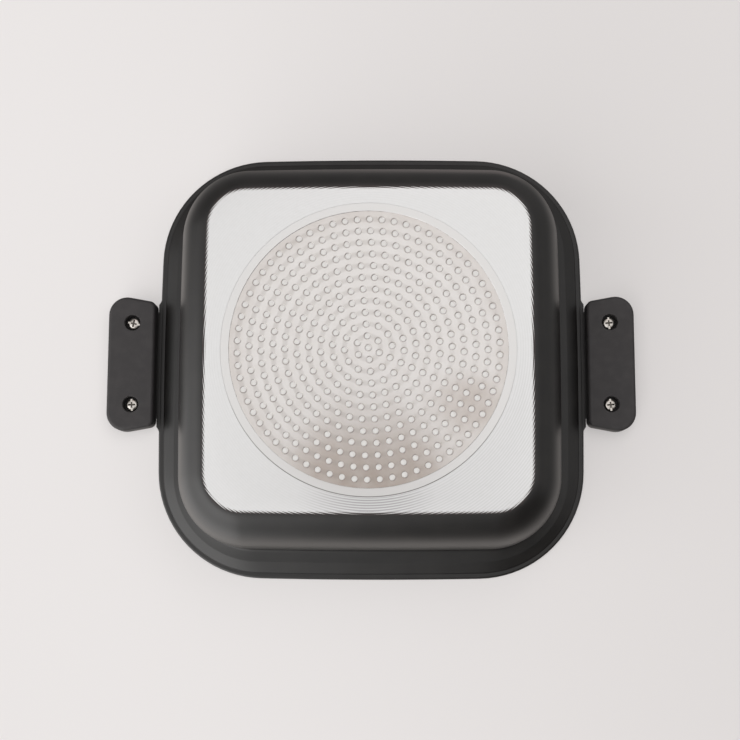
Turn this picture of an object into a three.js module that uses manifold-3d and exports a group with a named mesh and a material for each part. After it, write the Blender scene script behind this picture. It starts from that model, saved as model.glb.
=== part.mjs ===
// Square tabletop pot: a coated cast aluminium body, a perforated steel disc pressed into its machined base
// for induction hobs, and two moulded grips, each pushed over a cast lug and held by two screws from below.
// Millimetres, +Z up. The pot stands on its base at z = 0, centred on the origin, with its grips along X.

import * as THREE from 'three';
import { mergeVertices } from 'three/addons/utils/BufferGeometryUtils.js';
import Module from 'manifold-3d';

// Body: sizes across are taken at the middle of a side
const RIM_WIDTH = 260;
const RIM_CORNER_RADIUS = 60;
const SIDE_BOW = 0.7; // how far the middle of each side stands out past its ends
const POT_HEIGHT = 77;
const WALL_THICKNESS = 3.5;
const FLOOR_THICKNESS = 5.5;
const SHOULDER_HEIGHT = 50; // the rounded shoulder ends here and the upright wall begins
const SHOULDER_RUN = 20.7; // from the base's edge out to the wall

// Rim: a flat ledge, a slope up and a thin outer lip
const RIM_THICKNESS = 3.5;
const LEDGE_DROP = 3.2; // from the top of the lip down to the ledge
const LEDGE_OVERHANG = 7.8; // from the outside of the wall to the ledge's outer edge
const LEDGE_FILLET = 2.5; // under the ledge, against the wall
const SLOPE_RUN = 6.8; // from the ledge's outer edge to the lip
const INNER_EDGE_RADIUS = 2;
const LIP_WIDTH = 3.2;
const LIP_THICKNESS = 2.8;
const LIP_ROUNDING = 1.3; // how far in from the rim's edge its rounding starts
const LIP_STEP = 0.4; // run of the small step from the slope down to the lip
const SLOPE_STEP_HEIGHT = 0.7; // how far the slope ends below the lip's underside

// Induction disc
const BASE_MARGIN = 13.5; // from the disc's edge to the base's edge
const DISC_THICKNESS = 0.8;
const DISC_SET_BACK = 0.1; // how far the disc's face lies above the base
const HOLE_DIAMETER = 3.4;
const HOLE_MARGIN = 2.5; // least metal between the outer holes and the disc's edge
const RING_PITCH = 6.66;
const RING_GROWTH = 6; // how many more holes each ring has than the one inside it
const PATTERN_TURN = THREE.MathUtils.degToRad(25); // the spoke on which every ring has its first hole

// Screws and spring washers
const SCREW_SPACING = 50;
const SCREW_DIAMETER = 4;
const SCREW_SET_BACK = 1; // from the screw's tip to the top of the lug
const HEAD_DIAMETER = 7.2;
const HEAD_HEIGHT = 2.6;
const HEAD_CROWN = 0.9; // the domed part of the head's height
const SLOT_WIDTH = 1.1;
const SLOT_DEPTH = 1.1;
const CROSS_SPAN = 4.2;
const CROSS_WIDTH = 1.2;
const CROSS_DEPTH = 1.7;
const WASHER_OVERHANG = 0.1; // past the head
const WASHER_THICKNESS = 0.9;
const WASHER_SPLIT = 0.9;
const WELL_GAP = 1.1; // around the washer

// Lugs, cast in one with the body
const LUG_THICKNESS = 3;
const LUG_DROP = 1.4; // top of the tongue below the top of the rim
const LUG_ROOT_FLARE = 3;
const LUG_ROOT_DROP = 0.4; // top of the lug's root below the top of the rim
const TONGUE_MARGIN = 8; // from a screw to the end of the tongue beside it
const TONGUE_CORNER = 4;

// Grips
const GRIP_REACH = 28.6; // from the inner face to the outer edge
const GRIP_STAND_OFF = 1.4; // from the lip to the grip's inner face
const GRIP_CHEEK = 4.9; // grip material past each end of the tongue
const GRIP_FLARE = 5.3; // how much further each end reaches at the outer edge, before its corner is rounded
const GRIP_THICKNESS = 13.4;
const GRIP_DROP = 0.1; // top of the grip below the top of the rim
const GRIP_OUTER_CORNER = 11;
const GRIP_INNER_CORNER = 4;
const GRIP_EDGE_RADIUS = 2;
const SCREW_INSET = 14.8; // from the grip's outer edge
const TONGUE_INSET = 6; // from the grip's outer edge
const WEB_THICKNESS = 2; // grip material between the washer and the lug
const SCREW_TURNS = { left_front: 98, left_back: 12, right_front: 4, right_back: -8 };

// Fits
const CLEARANCE = 0.3; // around what slides over or passes through something
const SEAT_GAP = 0.1; // between faces that rest on each other

// Fineness
const CORNER_STEPS = 7;
const SIDE_STEPS = 2;
const SHOULDER_STEPS = 7;
const FILLET_STEPS = 2;
const DISC_STEPS = 60;
const HOLE_SIDES = 6;
const ROUND_STEPS = 16;
const CUT_MARGIN = 1; // how far a cutter stands past the face it opens

// Places that follow from the sizes above
const RIM_HALF = RIM_WIDTH / 2;
const CORE_HALF = RIM_HALF - RIM_CORNER_RADIUS;
const LIP_INNER_HALF = RIM_HALF - LIP_WIDTH;
const LEDGE_HALF = LIP_INNER_HALF - SLOPE_RUN;
const WALL_HALF = LEDGE_HALF - LEDGE_OVERHANG;
const BASE_HALF = WALL_HALF - SHOULDER_RUN;
const LEDGE_TOP = POT_HEIGHT - LEDGE_DROP;
const LEDGE_UNDERSIDE = LEDGE_TOP - RIM_THICKNESS;
const LIP_UNDERSIDE = POT_HEIGHT - LIP_THICKNESS;
const DISC_RADIUS = BASE_HALF - BASE_MARGIN;
const HOLE_RINGS = Math.floor((DISC_RADIUS - HOLE_MARGIN - HOLE_DIAMETER / 2) / RING_PITCH);
const LUG_TOP = POT_HEIGHT - LUG_DROP;
const LUG_BOTTOM = LUG_TOP - LUG_THICKNESS;
const GRIP_INNER_X = RIM_HALF + GRIP_STAND_OFF;
const GRIP_OUTER_X = GRIP_INNER_X + GRIP_REACH;
const LUG_ROOT_X = GRIP_INNER_X - CLEARANCE;
const GRIP_TOP = POT_HEIGHT - GRIP_DROP;
const GRIP_BOTTOM = GRIP_TOP - GRIP_THICKNESS;
const TONGUE_HALF = SCREW_SPACING / 2 + TONGUE_MARGIN;
const TONGUE_END_X = GRIP_OUTER_X - TONGUE_INSET;
const GRIP_INNER_HALF = TONGUE_HALF + GRIP_CHEEK;
const GRIP_OUTER_HALF = GRIP_INNER_HALF + GRIP_FLARE;
const SCREW_X = GRIP_OUTER_X - SCREW_INSET;
const SCREW_HOLE_RADIUS = SCREW_DIAMETER / 2 + CLEARANCE;
const WASHER_RADIUS = HEAD_DIAMETER / 2 + WASHER_OVERHANG;
const WELL_RADIUS = WASHER_RADIUS + WELL_GAP;
const WELL_FLOOR = LUG_BOTTOM - CLEARANCE - WEB_THICKNESS;
const HEAD_SEAT = WELL_FLOOR - WASHER_THICKNESS - 2 * SEAT_GAP;
const SCREW_LENGTH = LUG_TOP - SCREW_SET_BACK - HEAD_SEAT;

const wasm = await Module();
wasm.setup();

/** A closed three.js geometry as a solid that can be joined and cut. */
function solidFrom(geometry) {
  const bare = geometry.clone();
  bare.deleteAttribute('normal');
  bare.deleteAttribute('uv');
  const merged = mergeVertices(bare);
  const vertProperties = new Float32Array(merged.attributes.position.array);
  const triVerts = new Uint32Array(merged.index.array);
  return new wasm.Manifold(new wasm.Mesh({ numProp: 3, vertProperties, triVerts }));
}

/** A solid as a three.js geometry again. */
function geometryFrom(solid) {
  const { vertProperties, triVerts } = solid.getMesh();
  const geometry = new THREE.BufferGeometry();
  geometry.setAttribute('position', new THREE.BufferAttribute(vertProperties, 3));
  geometry.setIndex(new THREE.BufferAttribute(triVerts, 1));
  geometry.computeVertexNormals();
  return geometry;
}

/** A box between two corners. */
function boxBetween(low, high) {
  const size = new THREE.Vector3().subVectors(high, low);
  const middle = new THREE.Vector3().addVectors(low, high).multiplyScalar(0.5);
  return new THREE.BoxGeometry(size.x, size.y, size.z).translate(middle.x, middle.y, middle.z);
}

/** An upright round bar from one height to another. */
function uprightBar(radius, bottom, top, steps = ROUND_STEPS) {
  const height = top - bottom;
  const bar = new THREE.CylinderGeometry(radius, radius, height, steps);
  return bar.rotateX(Math.PI / 2).translate(0, 0, bottom + height / 2);
}

/** Points along part of an ellipse, angles in degrees, both ends included. */
function ellipsePoints(centreX, centreY, radiusX, radiusY, from, to, steps) {
  const start = THREE.MathUtils.degToRad(from);
  const end = THREE.MathUtils.degToRad(to);
  const curve = new THREE.EllipseCurve(centreX, centreY, radiusX, radiusY, start, end, end < start);
  return curve.getPoints(steps);
}

/** One level of the body: a square with round corners and slightly bowed sides, as points around it. */
function squareRing(halfWidth, z) {
  const offset = halfWidth - CORE_HALF;
  const cornerCentre = CORE_HALF - SIDE_BOW;
  const bowRadius = (cornerCentre ** 2 + SIDE_BOW ** 2) / (2 * SIDE_BOW);
  const bowAngle = Math.asin(cornerCentre / bowRadius);
  const points = [];
  for (let side = 0; side < 4; side += 1) {
    const facing = side * Math.PI / 2;
    const turn = new THREE.Matrix4().makeRotationZ(facing);
    for (let step = 0; step < SIDE_STEPS; step += 1) {
      const angle = bowAngle * (2 * step / SIDE_STEPS - 1);
      const reach = bowRadius + offset;
      const x = CORE_HALF - bowRadius + reach * Math.cos(angle);
      points.push(new THREE.Vector3(x, reach * Math.sin(angle), z).applyMatrix4(turn));
    }
    for (let step = 0; step < CORNER_STEPS; step += 1) {
      const angle = bowAngle + (Math.PI / 2 - 2 * bowAngle) * step / CORNER_STEPS;
      const x = cornerCentre + offset * Math.cos(angle);
      points.push(new THREE.Vector3(x, cornerCentre + offset * Math.sin(angle), z).applyMatrix4(turn));
    }
  }
  return points;
}

/** The body's skin: rings along a profile that runs out over the base, up, over the rim and down inside. */
function loftedBody(profile) {
  const rings = profile.map((point) => squareRing(point.x, point.y));
  const around = rings[0].length;
  const first = profile[0];
  const last = profile[profile.length - 1];
  const points = rings.flat();
  const underCentre = points.push(new THREE.Vector3(0, 0, first.y)) - 1;
  const floorCentre = points.push(new THREE.Vector3(0, 0, last.y)) - 1;
  const index = [];
  for (let i = 0; i < around; i += 1) {
    const next = (i + 1) % around;
    index.push(underCentre, next, i);
    for (let level = 0; level + 1 < rings.length; level += 1) {
      const lower = level * around;
      const upper = lower + around;
      index.push(lower + i, lower + next, upper + next);
      index.push(lower + i, upper + next, upper + i);
    }
    const top = (rings.length - 1) * around;
    index.push(floorCentre, top + i, top + next);
  }
  return new THREE.BufferGeometry().setFromPoints(points).setIndex(index);
}

/** Half of the body's section, as half widths and heights, from the base's edge to the floor's edge. */
function bodyProfile() {
  const insideHalf = WALL_HALF - WALL_THICKNESS;
  const floorHalf = BASE_HALF - WALL_THICKNESS;
  const innerEdge = insideHalf + INNER_EDGE_RADIUS;
  const lipHalfThickness = LIP_THICKNESS / 2;
  return [
    ...ellipsePoints(BASE_HALF, SHOULDER_HEIGHT, SHOULDER_RUN, SHOULDER_HEIGHT,
      -90, 0, SHOULDER_STEPS),
    ...ellipsePoints(WALL_HALF + LEDGE_FILLET, LEDGE_UNDERSIDE - LEDGE_FILLET, LEDGE_FILLET, LEDGE_FILLET,
      180, 90, FILLET_STEPS),
    new THREE.Vector2(LEDGE_HALF, LEDGE_UNDERSIDE),
    new THREE.Vector2(LIP_INNER_HALF - LIP_STEP, LIP_UNDERSIDE - SLOPE_STEP_HEIGHT),
    new THREE.Vector2(LIP_INNER_HALF, LIP_UNDERSIDE),
    ...ellipsePoints(RIM_HALF - LIP_ROUNDING, POT_HEIGHT - lipHalfThickness, LIP_ROUNDING, lipHalfThickness,
      -90, 90, FILLET_STEPS * 2),
    new THREE.Vector2(LIP_INNER_HALF, POT_HEIGHT),
    new THREE.Vector2(LEDGE_HALF, LEDGE_TOP),
    ...ellipsePoints(innerEdge, LEDGE_TOP - INNER_EDGE_RADIUS, INNER_EDGE_RADIUS, INNER_EDGE_RADIUS,
      90, 180, FILLET_STEPS),
    ...ellipsePoints(floorHalf, SHOULDER_HEIGHT, insideHalf - floorHalf, SHOULDER_HEIGHT - FLOOR_THICKNESS,
      0, -90, SHOULDER_STEPS),
  ];
}

/** The right lug's root from above: a strip along the lip that flares into it at both ends. */
function lugRootOutline() {
  const flareHalf = GRIP_INNER_HALF + LUG_ROOT_FLARE;
  const outline = new THREE.Shape();
  outline.moveTo(LIP_INNER_HALF, -flareHalf);
  outline.lineTo(RIM_HALF - SIDE_BOW, -flareHalf);
  outline.quadraticCurveTo(LUG_ROOT_X, -flareHalf + LUG_ROOT_FLARE / 2, LUG_ROOT_X, -GRIP_INNER_HALF);
  outline.lineTo(LUG_ROOT_X, GRIP_INNER_HALF);
  outline.quadraticCurveTo(LUG_ROOT_X, flareHalf - LUG_ROOT_FLARE / 2, RIM_HALF - SIDE_BOW, flareHalf);
  outline.lineTo(LIP_INNER_HALF, flareHalf);
  return outline;
}

/** The right lug's tongue from above, with round corners at its outer end. */
function tongueOutline() {
  const outline = new THREE.Shape();
  outline.moveTo(RIM_HALF - LIP_ROUNDING, -TONGUE_HALF);
  outline.lineTo(TONGUE_END_X - TONGUE_CORNER, -TONGUE_HALF);
  outline.quadraticCurveTo(TONGUE_END_X, -TONGUE_HALF, TONGUE_END_X, -TONGUE_HALF + TONGUE_CORNER);
  outline.lineTo(TONGUE_END_X, TONGUE_HALF - TONGUE_CORNER);
  outline.quadraticCurveTo(TONGUE_END_X, TONGUE_HALF, TONGUE_END_X - TONGUE_CORNER, TONGUE_HALF);
  outline.lineTo(RIM_HALF - LIP_ROUNDING, TONGUE_HALF);
  return outline;
}

/** An outline extruded upwards from one height to another, as a solid. */
function uprightSolid(outline, bottom, top) {
  const shape = { depth: top - bottom, bevelEnabled: false, curveSegments: FILLET_STEPS };
  return solidFrom(new THREE.ExtrudeGeometry(outline, shape).translate(0, 0, bottom));
}

/** The right lug: a root level with the underside of the lip, then the tongue, a little lower, in the grip. */
function lug() {
  const cutHalf = GRIP_INNER_HALF + LUG_ROOT_FLARE + CUT_MARGIN;
  const under = boxBetween(
    new THREE.Vector3(LIP_INNER_HALF - CUT_MARGIN, -cutHalf, LUG_BOTTOM - CUT_MARGIN),
    new THREE.Vector3(LUG_ROOT_X, cutHalf, LIP_UNDERSIDE + SEAT_GAP),
  );
  const root = uprightSolid(lugRootOutline(), LUG_BOTTOM, POT_HEIGHT - LUG_ROOT_DROP);
  return root.add(uprightSolid(tongueOutline(), LUG_BOTTOM, LUG_TOP)).subtract(solidFrom(under));
}

/** The cast body, with its lugs joined on, its disc seat sunk and its lugs drilled. */
function potBody() {
  let body = solidFrom(loftedBody(bodyProfile()));
  const discSeat = uprightBar(DISC_RADIUS + CLEARANCE, -CUT_MARGIN,
    DISC_SET_BACK + DISC_THICKNESS + SEAT_GAP, DISC_STEPS);
  body = body.subtract(solidFrom(discSeat));
  for (const turn of [0, Math.PI]) {
    body = body.add(lug().rotate([0, 0, THREE.MathUtils.radToDeg(turn)]));
    for (const side of [-1, 1]) {
      const hole = uprightBar(SCREW_HOLE_RADIUS, LUG_BOTTOM - CUT_MARGIN, LUG_TOP + CUT_MARGIN);
      hole.translate(SCREW_X, side * SCREW_SPACING / 2, 0).rotateZ(turn);
      body = body.subtract(solidFrom(hole));
    }
  }
  return geometryFrom(body);
}

/** The perforated disc: rings of holes around one centre hole. */
function inductionDisc() {
  const outline = new THREE.Shape();
  outline.absarc(0, 0, DISC_RADIUS, 0, 2 * Math.PI);
  const centres = [new THREE.Vector2(0, 0)];
  for (let ring = 1; ring <= HOLE_RINGS; ring += 1) {
    const count = RING_GROWTH * ring;
    const reach = ring * RING_PITCH;
    for (let hole = 0; hole < count; hole += 1) {
      const angle = PATTERN_TURN + 2 * Math.PI * hole / count;
      centres.push(new THREE.Vector2(reach * Math.cos(angle), reach * Math.sin(angle)));
    }
  }
  for (const centre of centres) {
    const corners = [];
    for (let corner = 0; corner < HOLE_SIDES; corner += 1) {
      const angle = -2 * Math.PI * corner / HOLE_SIDES;
      const x = centre.x + HOLE_DIAMETER / 2 * Math.cos(angle);
      corners.push(new THREE.Vector2(x, centre.y + HOLE_DIAMETER / 2 * Math.sin(angle)));
    }
    outline.holes.push(new THREE.Path(corners));
  }
  const plate = { depth: DISC_THICKNESS, bevelEnabled: false, curveSegments: DISC_STEPS };
  return new THREE.ExtrudeGeometry(outline, plate).translate(0, 0, DISC_SET_BACK);
}

/** A closed outline through the given corners, each rounded by its own radius. */
function roundedOutline(corners) {
  const outline = new THREE.Shape();
  corners.forEach(({ point, radius }, i) => {
    const before = corners[(i + corners.length - 1) % corners.length].point;
    const after = corners[(i + 1) % corners.length].point;
    const back = new THREE.Vector2().subVectors(before, point).normalize();
    const ahead = new THREE.Vector2().subVectors(after, point).normalize();
    const halfAngle = Math.acos(back.dot(ahead)) / 2;
    const trim = radius / Math.tan(halfAngle);
    const start = point.clone().addScaledVector(back, trim);
    const end = point.clone().addScaledVector(ahead, trim);
    if (i === 0) {
      outline.moveTo(start.x, start.y);
    } else {
      outline.lineTo(start.x, start.y);
    }
    outline.quadraticCurveTo(point.x, point.y, end.x, end.y);
  });
  outline.closePath();
  return outline;
}

/** The right grip: a tab with round edges, slotted for the tongue and welled and drilled for its screws. */
function grip() {
  const outline = roundedOutline([
    { point: new THREE.Vector2(GRIP_INNER_X, -GRIP_INNER_HALF), radius: GRIP_INNER_CORNER },
    { point: new THREE.Vector2(GRIP_OUTER_X, -GRIP_OUTER_HALF), radius: GRIP_OUTER_CORNER },
    { point: new THREE.Vector2(GRIP_OUTER_X, GRIP_OUTER_HALF), radius: GRIP_OUTER_CORNER },
    { point: new THREE.Vector2(GRIP_INNER_X, GRIP_INNER_HALF), radius: GRIP_INNER_CORNER },
  ]);
  const block = new THREE.ExtrudeGeometry(outline, {
    depth: GRIP_THICKNESS - 2 * GRIP_EDGE_RADIUS,
    bevelThickness: GRIP_EDGE_RADIUS,
    bevelSize: GRIP_EDGE_RADIUS,
    bevelOffset: -GRIP_EDGE_RADIUS,
    bevelSegments: FILLET_STEPS,
    curveSegments: FILLET_STEPS * 2,
  }).translate(0, 0, GRIP_BOTTOM + GRIP_EDGE_RADIUS);
  const slotHalf = TONGUE_HALF + CLEARANCE;
  const slot = boxBetween(
    new THREE.Vector3(GRIP_INNER_X - CUT_MARGIN, -slotHalf, LUG_BOTTOM - CLEARANCE),
    new THREE.Vector3(TONGUE_END_X + CLEARANCE, slotHalf, LUG_TOP + CLEARANCE),
  );
  let solid = solidFrom(block).subtract(solidFrom(slot));
  for (const side of [-1, 1]) {
    const y = side * SCREW_SPACING / 2;
    const well = uprightBar(WELL_RADIUS, GRIP_BOTTOM - CUT_MARGIN, WELL_FLOOR);
    const hole = uprightBar(SCREW_HOLE_RADIUS, WELL_FLOOR - CUT_MARGIN, LUG_BOTTOM);
    solid = solid.subtract(solidFrom(well.translate(SCREW_X, y, 0)));
    solid = solid.subtract(solidFrom(hole.translate(SCREW_X, y, 0)));
  }
  return geometryFrom(solid);
}

/** A screw with its head downwards, its seat at z = 0 and its shank up along the axis. */
function screw() {
  const headRadius = HEAD_DIAMETER / 2;
  const shankRadius = SCREW_DIAMETER / 2;
  const edge = -(HEAD_HEIGHT - HEAD_CROWN);
  const turned = new THREE.LatheGeometry([
    ...ellipsePoints(0, edge, headRadius, HEAD_CROWN, -90, 0, FILLET_STEPS),
    new THREE.Vector2(headRadius, 0),
    new THREE.Vector2(shankRadius, 0),
    new THREE.Vector2(shankRadius, SCREW_LENGTH),
    new THREE.Vector2(0, SCREW_LENGTH),
  ], ROUND_STEPS).rotateX(Math.PI / 2);
  const below = -HEAD_HEIGHT - CUT_MARGIN;
  const slot = boxBetween(
    new THREE.Vector3(-headRadius - CUT_MARGIN, -SLOT_WIDTH / 2, below),
    new THREE.Vector3(headRadius + CUT_MARGIN, SLOT_WIDTH / 2, SLOT_DEPTH - HEAD_HEIGHT),
  );
  const bar = boxBetween(
    new THREE.Vector3(-CROSS_SPAN / 2, -CROSS_WIDTH / 2, below),
    new THREE.Vector3(CROSS_SPAN / 2, CROSS_WIDTH / 2, CROSS_DEPTH - HEAD_HEIGHT),
  );
  const cross = solidFrom(bar).add(solidFrom(bar.clone().rotateZ(Math.PI / 2)));
  return geometryFrom(solidFrom(turned).subtract(solidFrom(slot)).subtract(cross));
}

/** A split spring washer, with its top at z = 0. */
function springWasher() {
  const ring = uprightBar(WASHER_RADIUS, -WASHER_THICKNESS, 0);
  const bore = uprightBar(SCREW_HOLE_RADIUS, -WASHER_THICKNESS - CUT_MARGIN, CUT_MARGIN);
  const split = boxBetween(
    new THREE.Vector3(0, -WASHER_SPLIT / 2, -WASHER_THICKNESS - CUT_MARGIN),
    new THREE.Vector3(WASHER_RADIUS + CUT_MARGIN, WASHER_SPLIT / 2, CUT_MARGIN),
  );
  return geometryFrom(solidFrom(ring).subtract(solidFrom(bore)).subtract(solidFrom(split)));
}

const coatedAluminium = new THREE.MeshStandardMaterial({ color: 0x2b2a29, roughness: 0.45, metalness: 0 });
const stainlessSteel = new THREE.MeshStandardMaterial({ color: 0xd6d2cd, roughness: 0.3, metalness: 1 });
const mouldedResin = new THREE.MeshStandardMaterial({ color: 0x2e2d2d, roughness: 0.6, metalness: 0 });
const platedSteel = new THREE.MeshStandardMaterial({ color: 0xd9d3c9, roughness: 0.25, metalness: 1 });
const springSteel = new THREE.MeshStandardMaterial({ color: 0x8d8b88, roughness: 0.4, metalness: 1 });

const pot = new THREE.Group();

/** Adds one named piece to a group. */
function addPiece(group, name, geometry, material) {
  const mesh = new THREE.Mesh(geometry, material.clone());
  mesh.name = name;
  group.add(mesh);
  return mesh;
}

addPiece(pot, 'pot_body', potBody(), coatedAluminium);
addPiece(pot, 'induction_disc', inductionDisc(), stainlessSteel);

const sides = [
  { name: 'left', turn: Math.PI },
  { name: 'right', turn: 0 },
];
const ends = [
  { name: 'front', y: -SCREW_SPACING / 2 },
  { name: 'back', y: SCREW_SPACING / 2 },
];
for (const side of sides) {
  const handle = new THREE.Group();
  handle.rotation.z = side.turn;
  pot.add(handle);
  addPiece(handle, `${side.name}_grip`, grip(), mouldedResin);
  for (const end of ends) {
    const place = `${side.name}_${end.name}`;
    const y = end.y * Math.cos(side.turn);
    const fixing = addPiece(handle, `${place}_screw`, screw(), platedSteel);
    fixing.position.set(SCREW_X, y, HEAD_SEAT);
    fixing.rotation.z = THREE.MathUtils.degToRad(SCREW_TURNS[place]) - side.turn;
    const washer = addPiece(handle, `${place}_spring_washer`, springWasher(), springSteel);
    washer.position.set(SCREW_X, y, WELL_FLOOR - SEAT_GAP);
  }
}

export default pot;
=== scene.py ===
"""Looks of a square tabletop pot: coated body, machined base, perforated induction disc, grips and screws.

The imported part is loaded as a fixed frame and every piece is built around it. The pot stands on its base
at z = 0 with its grips along X. Sizes in the classes are millimetres, and meshes are written in metres.
"""

import logging
import math
from collections.abc import Callable
from dataclasses import dataclass, field
from enum import Enum

import bmesh
import bpy
import numpy as np
from mathutils import Matrix, Vector
from mathutils.geometry import delaunay_2d_cdt


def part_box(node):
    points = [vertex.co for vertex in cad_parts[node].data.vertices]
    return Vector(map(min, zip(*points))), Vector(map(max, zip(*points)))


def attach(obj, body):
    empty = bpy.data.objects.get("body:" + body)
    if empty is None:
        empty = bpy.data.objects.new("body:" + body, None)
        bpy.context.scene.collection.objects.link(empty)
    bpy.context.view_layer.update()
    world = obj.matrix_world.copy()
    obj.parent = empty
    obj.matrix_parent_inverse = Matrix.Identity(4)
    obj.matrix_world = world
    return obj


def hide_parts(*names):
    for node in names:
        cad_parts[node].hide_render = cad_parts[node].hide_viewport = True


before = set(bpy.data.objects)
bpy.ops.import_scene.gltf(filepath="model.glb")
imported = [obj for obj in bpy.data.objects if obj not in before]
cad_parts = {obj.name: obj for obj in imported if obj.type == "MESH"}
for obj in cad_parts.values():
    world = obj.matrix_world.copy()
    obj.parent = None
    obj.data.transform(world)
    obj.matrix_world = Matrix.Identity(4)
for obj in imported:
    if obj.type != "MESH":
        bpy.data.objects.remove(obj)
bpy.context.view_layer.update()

LOG = logging.getLogger("pot")
MM = 0.001  # metres in a millimetre
SEAT_GAP = 0.1  # left between pieces that sit against each other, in millimetres
WELD = 1e-6  # points nearer than this count as one, in millimetres

Pair = tuple[float, float]
Loop = list[Pair]
Point = tuple[float, float, float]
Colour = tuple[float, float, float]
Piece = bpy.types.Object
Material = bpy.types.Material
Node = bpy.types.Node
Socket = bpy.types.NodeSocket


class Slot(Enum):
    """The record's material slots."""

    COATED_ALUMINIUM = "coated_aluminium"
    STAINLESS_DISC = "stainless_disc"
    MOULDED_RESIN = "moulded_resin"
    PLATED_SCREW = "plated_screw"
    SPRING_STEEL = "spring_steel"


class Side(Enum):
    """The two grip sides, with the turn about Z from the right side, in degrees."""

    LEFT = 180.0
    RIGHT = 0.0

    @property
    def label(self) -> str:
        """The side's name in the names of its pieces."""
        return self.name.lower()


class End(Enum):
    """The two screws of a grip, by the sign of their place along Y."""

    FRONT = -1
    BACK = 1

    @property
    def label(self) -> str:
        """The end's name in the names of its pieces."""
        return self.name.lower()


class Way(Enum):
    """How one mesh is combined with another, by Blender's name for it."""

    JOIN = "UNION"
    CUT = "DIFFERENCE"


@dataclass(frozen=True)
class Corner:
    """A corner of an outline or section, and the radius that rounds it."""

    x: float
    y: float
    radius: float = 0.0


def node_box(node: str) -> tuple[Vector, Vector]:
    """Lowest and highest corner of a CAD node in millimetres."""
    low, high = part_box(node)
    return low / MM, high / MM


def ellipse_arc(centre: Pair, radii: Pair, start: float, end: float, steps: int) -> Loop:
    """Points along part of an ellipse, both ends included.

    Args:
        centre: middle of the ellipse.
        radii: its half widths along both axes.
        start: first angle in degrees.
        end: last angle in degrees.
        steps: number of straight steps.

    Returns:
        The points in order.
    """
    angles = [math.radians(start + (end - start) * i / steps) for i in range(steps + 1)]
    return [(centre[0] + radii[0] * math.cos(a), centre[1] + radii[1] * math.sin(a)) for a in angles]


def circle(centre: Pair, radius: float, steps: int) -> Loop:
    """Points around a circle, the first one not repeated."""
    return ellipse_arc(centre, (radius, radius), 0.0, 360.0, steps)[:-1]


def round_corner(before: Corner, corner: Corner, after: Corner, steps: int, inset: float) -> Loop:
    """The arc that rounds one corner.

    Args:
        before: the corner ahead of it in the path.
        corner: the corner to round.
        after: the next corner in the path.
        steps: number of straight steps in the arc.
        inset: how far the path is drawn in, towards the arc's centre.

    Returns:
        The arc's points in order.
    """
    point = Vector((corner.x, corner.y))
    back = (Vector((before.x, before.y)) - point).normalized()
    ahead = (Vector((after.x, after.y)) - point).normalized()
    half = back.angle(ahead) / 2
    trim = corner.radius / math.tan(half)
    centre = point + (back + ahead).normalized() * (corner.radius / math.sin(half))
    first = point + back * trim - centre
    last = point + ahead * trim - centre
    turn = math.atan2(first.x * last.y - first.y * last.x, first.dot(last))
    keep = (corner.radius - inset) / corner.radius
    spokes = [Matrix.Rotation(turn * i / steps, 2) @ first for i in range(steps + 1)]
    return [tuple(centre + spoke * keep) for spoke in spokes]


def rounded_path(corners: list[Corner], steps: int, closed: bool, inset: float = 0.0) -> Loop:
    """A path through corners, each rounded by its own radius.

    Args:
        corners: the path's corners.
        steps: number of straight steps in each arc.
        closed: whether the last corner joins the first.
        inset: how far a closed path is drawn in.

    Returns:
        The path's points in order.
    """
    points: Loop = []
    last = len(corners) - 1
    for i, corner in enumerate(corners):
        if corner.radius == 0.0 or (not closed and i in (0, last)):
            points.append((corner.x, corner.y))
        else:
            points += round_corner(corners[i - 1], corner, corners[(i + 1) % len(corners)], steps, inset)
    return points


def inside_loop(points: np.ndarray, loop: Loop) -> np.ndarray:
    """Tells which points lie inside a closed loop.

    Args:
        points: an array of places, one row each.
        loop: the loop's corners.

    Returns:
        One truth value for each point.
    """
    inside = np.zeros(len(points), bool)
    for (x0, y0), (x1, y1) in zip(loop, loop[1:] + loop[:1]):
        if y0 != y1:
            crosses = (points[:, 1] > y0) != (points[:, 1] > y1)
            inside ^= crosses & (points[:, 0] < x0 + (x1 - x0) * (points[:, 1] - y0) / (y1 - y0))
    return inside


def sheet_triangles(outline: Loop, holes: list[Loop]) -> list[tuple[int, int, int]]:
    """Triangles that fill an outline around round holes.

    Args:
        outline: the outer loop.
        holes: loops around each hole, all round.

    Returns:
        Triples of places in the outline's points followed by the holes' points.
    """
    loops = [outline, *holes]
    points = [Vector(p) for loop in loops for p in loop]
    edges: list[tuple[int, int]] = []
    first = 0
    for loop in loops:
        edges += [(first + i, first + (i + 1) % len(loop)) for i in range(len(loop))]
        first += len(loop)
    places, _, faces, origins, _, _ = delaunay_2d_cdt(points, edges, [], 0, WELD)
    names = np.array([origin[0] for origin in origins])
    triangles = names[np.array(faces)]
    owners = np.repeat(np.arange(len(loops)), [len(loop) for loop in loops])[triangles]
    in_hole = (owners[:, 0] > 0) & (owners == owners[:, :1]).all(axis=1)
    middles = np.array([tuple(p) for p in places])[np.array(faces)].mean(axis=1)
    kept = triangles[inside_loop(middles, outline) & ~in_hole]
    return [tuple(int(i) for i in triangle) for triangle in kept]


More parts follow.
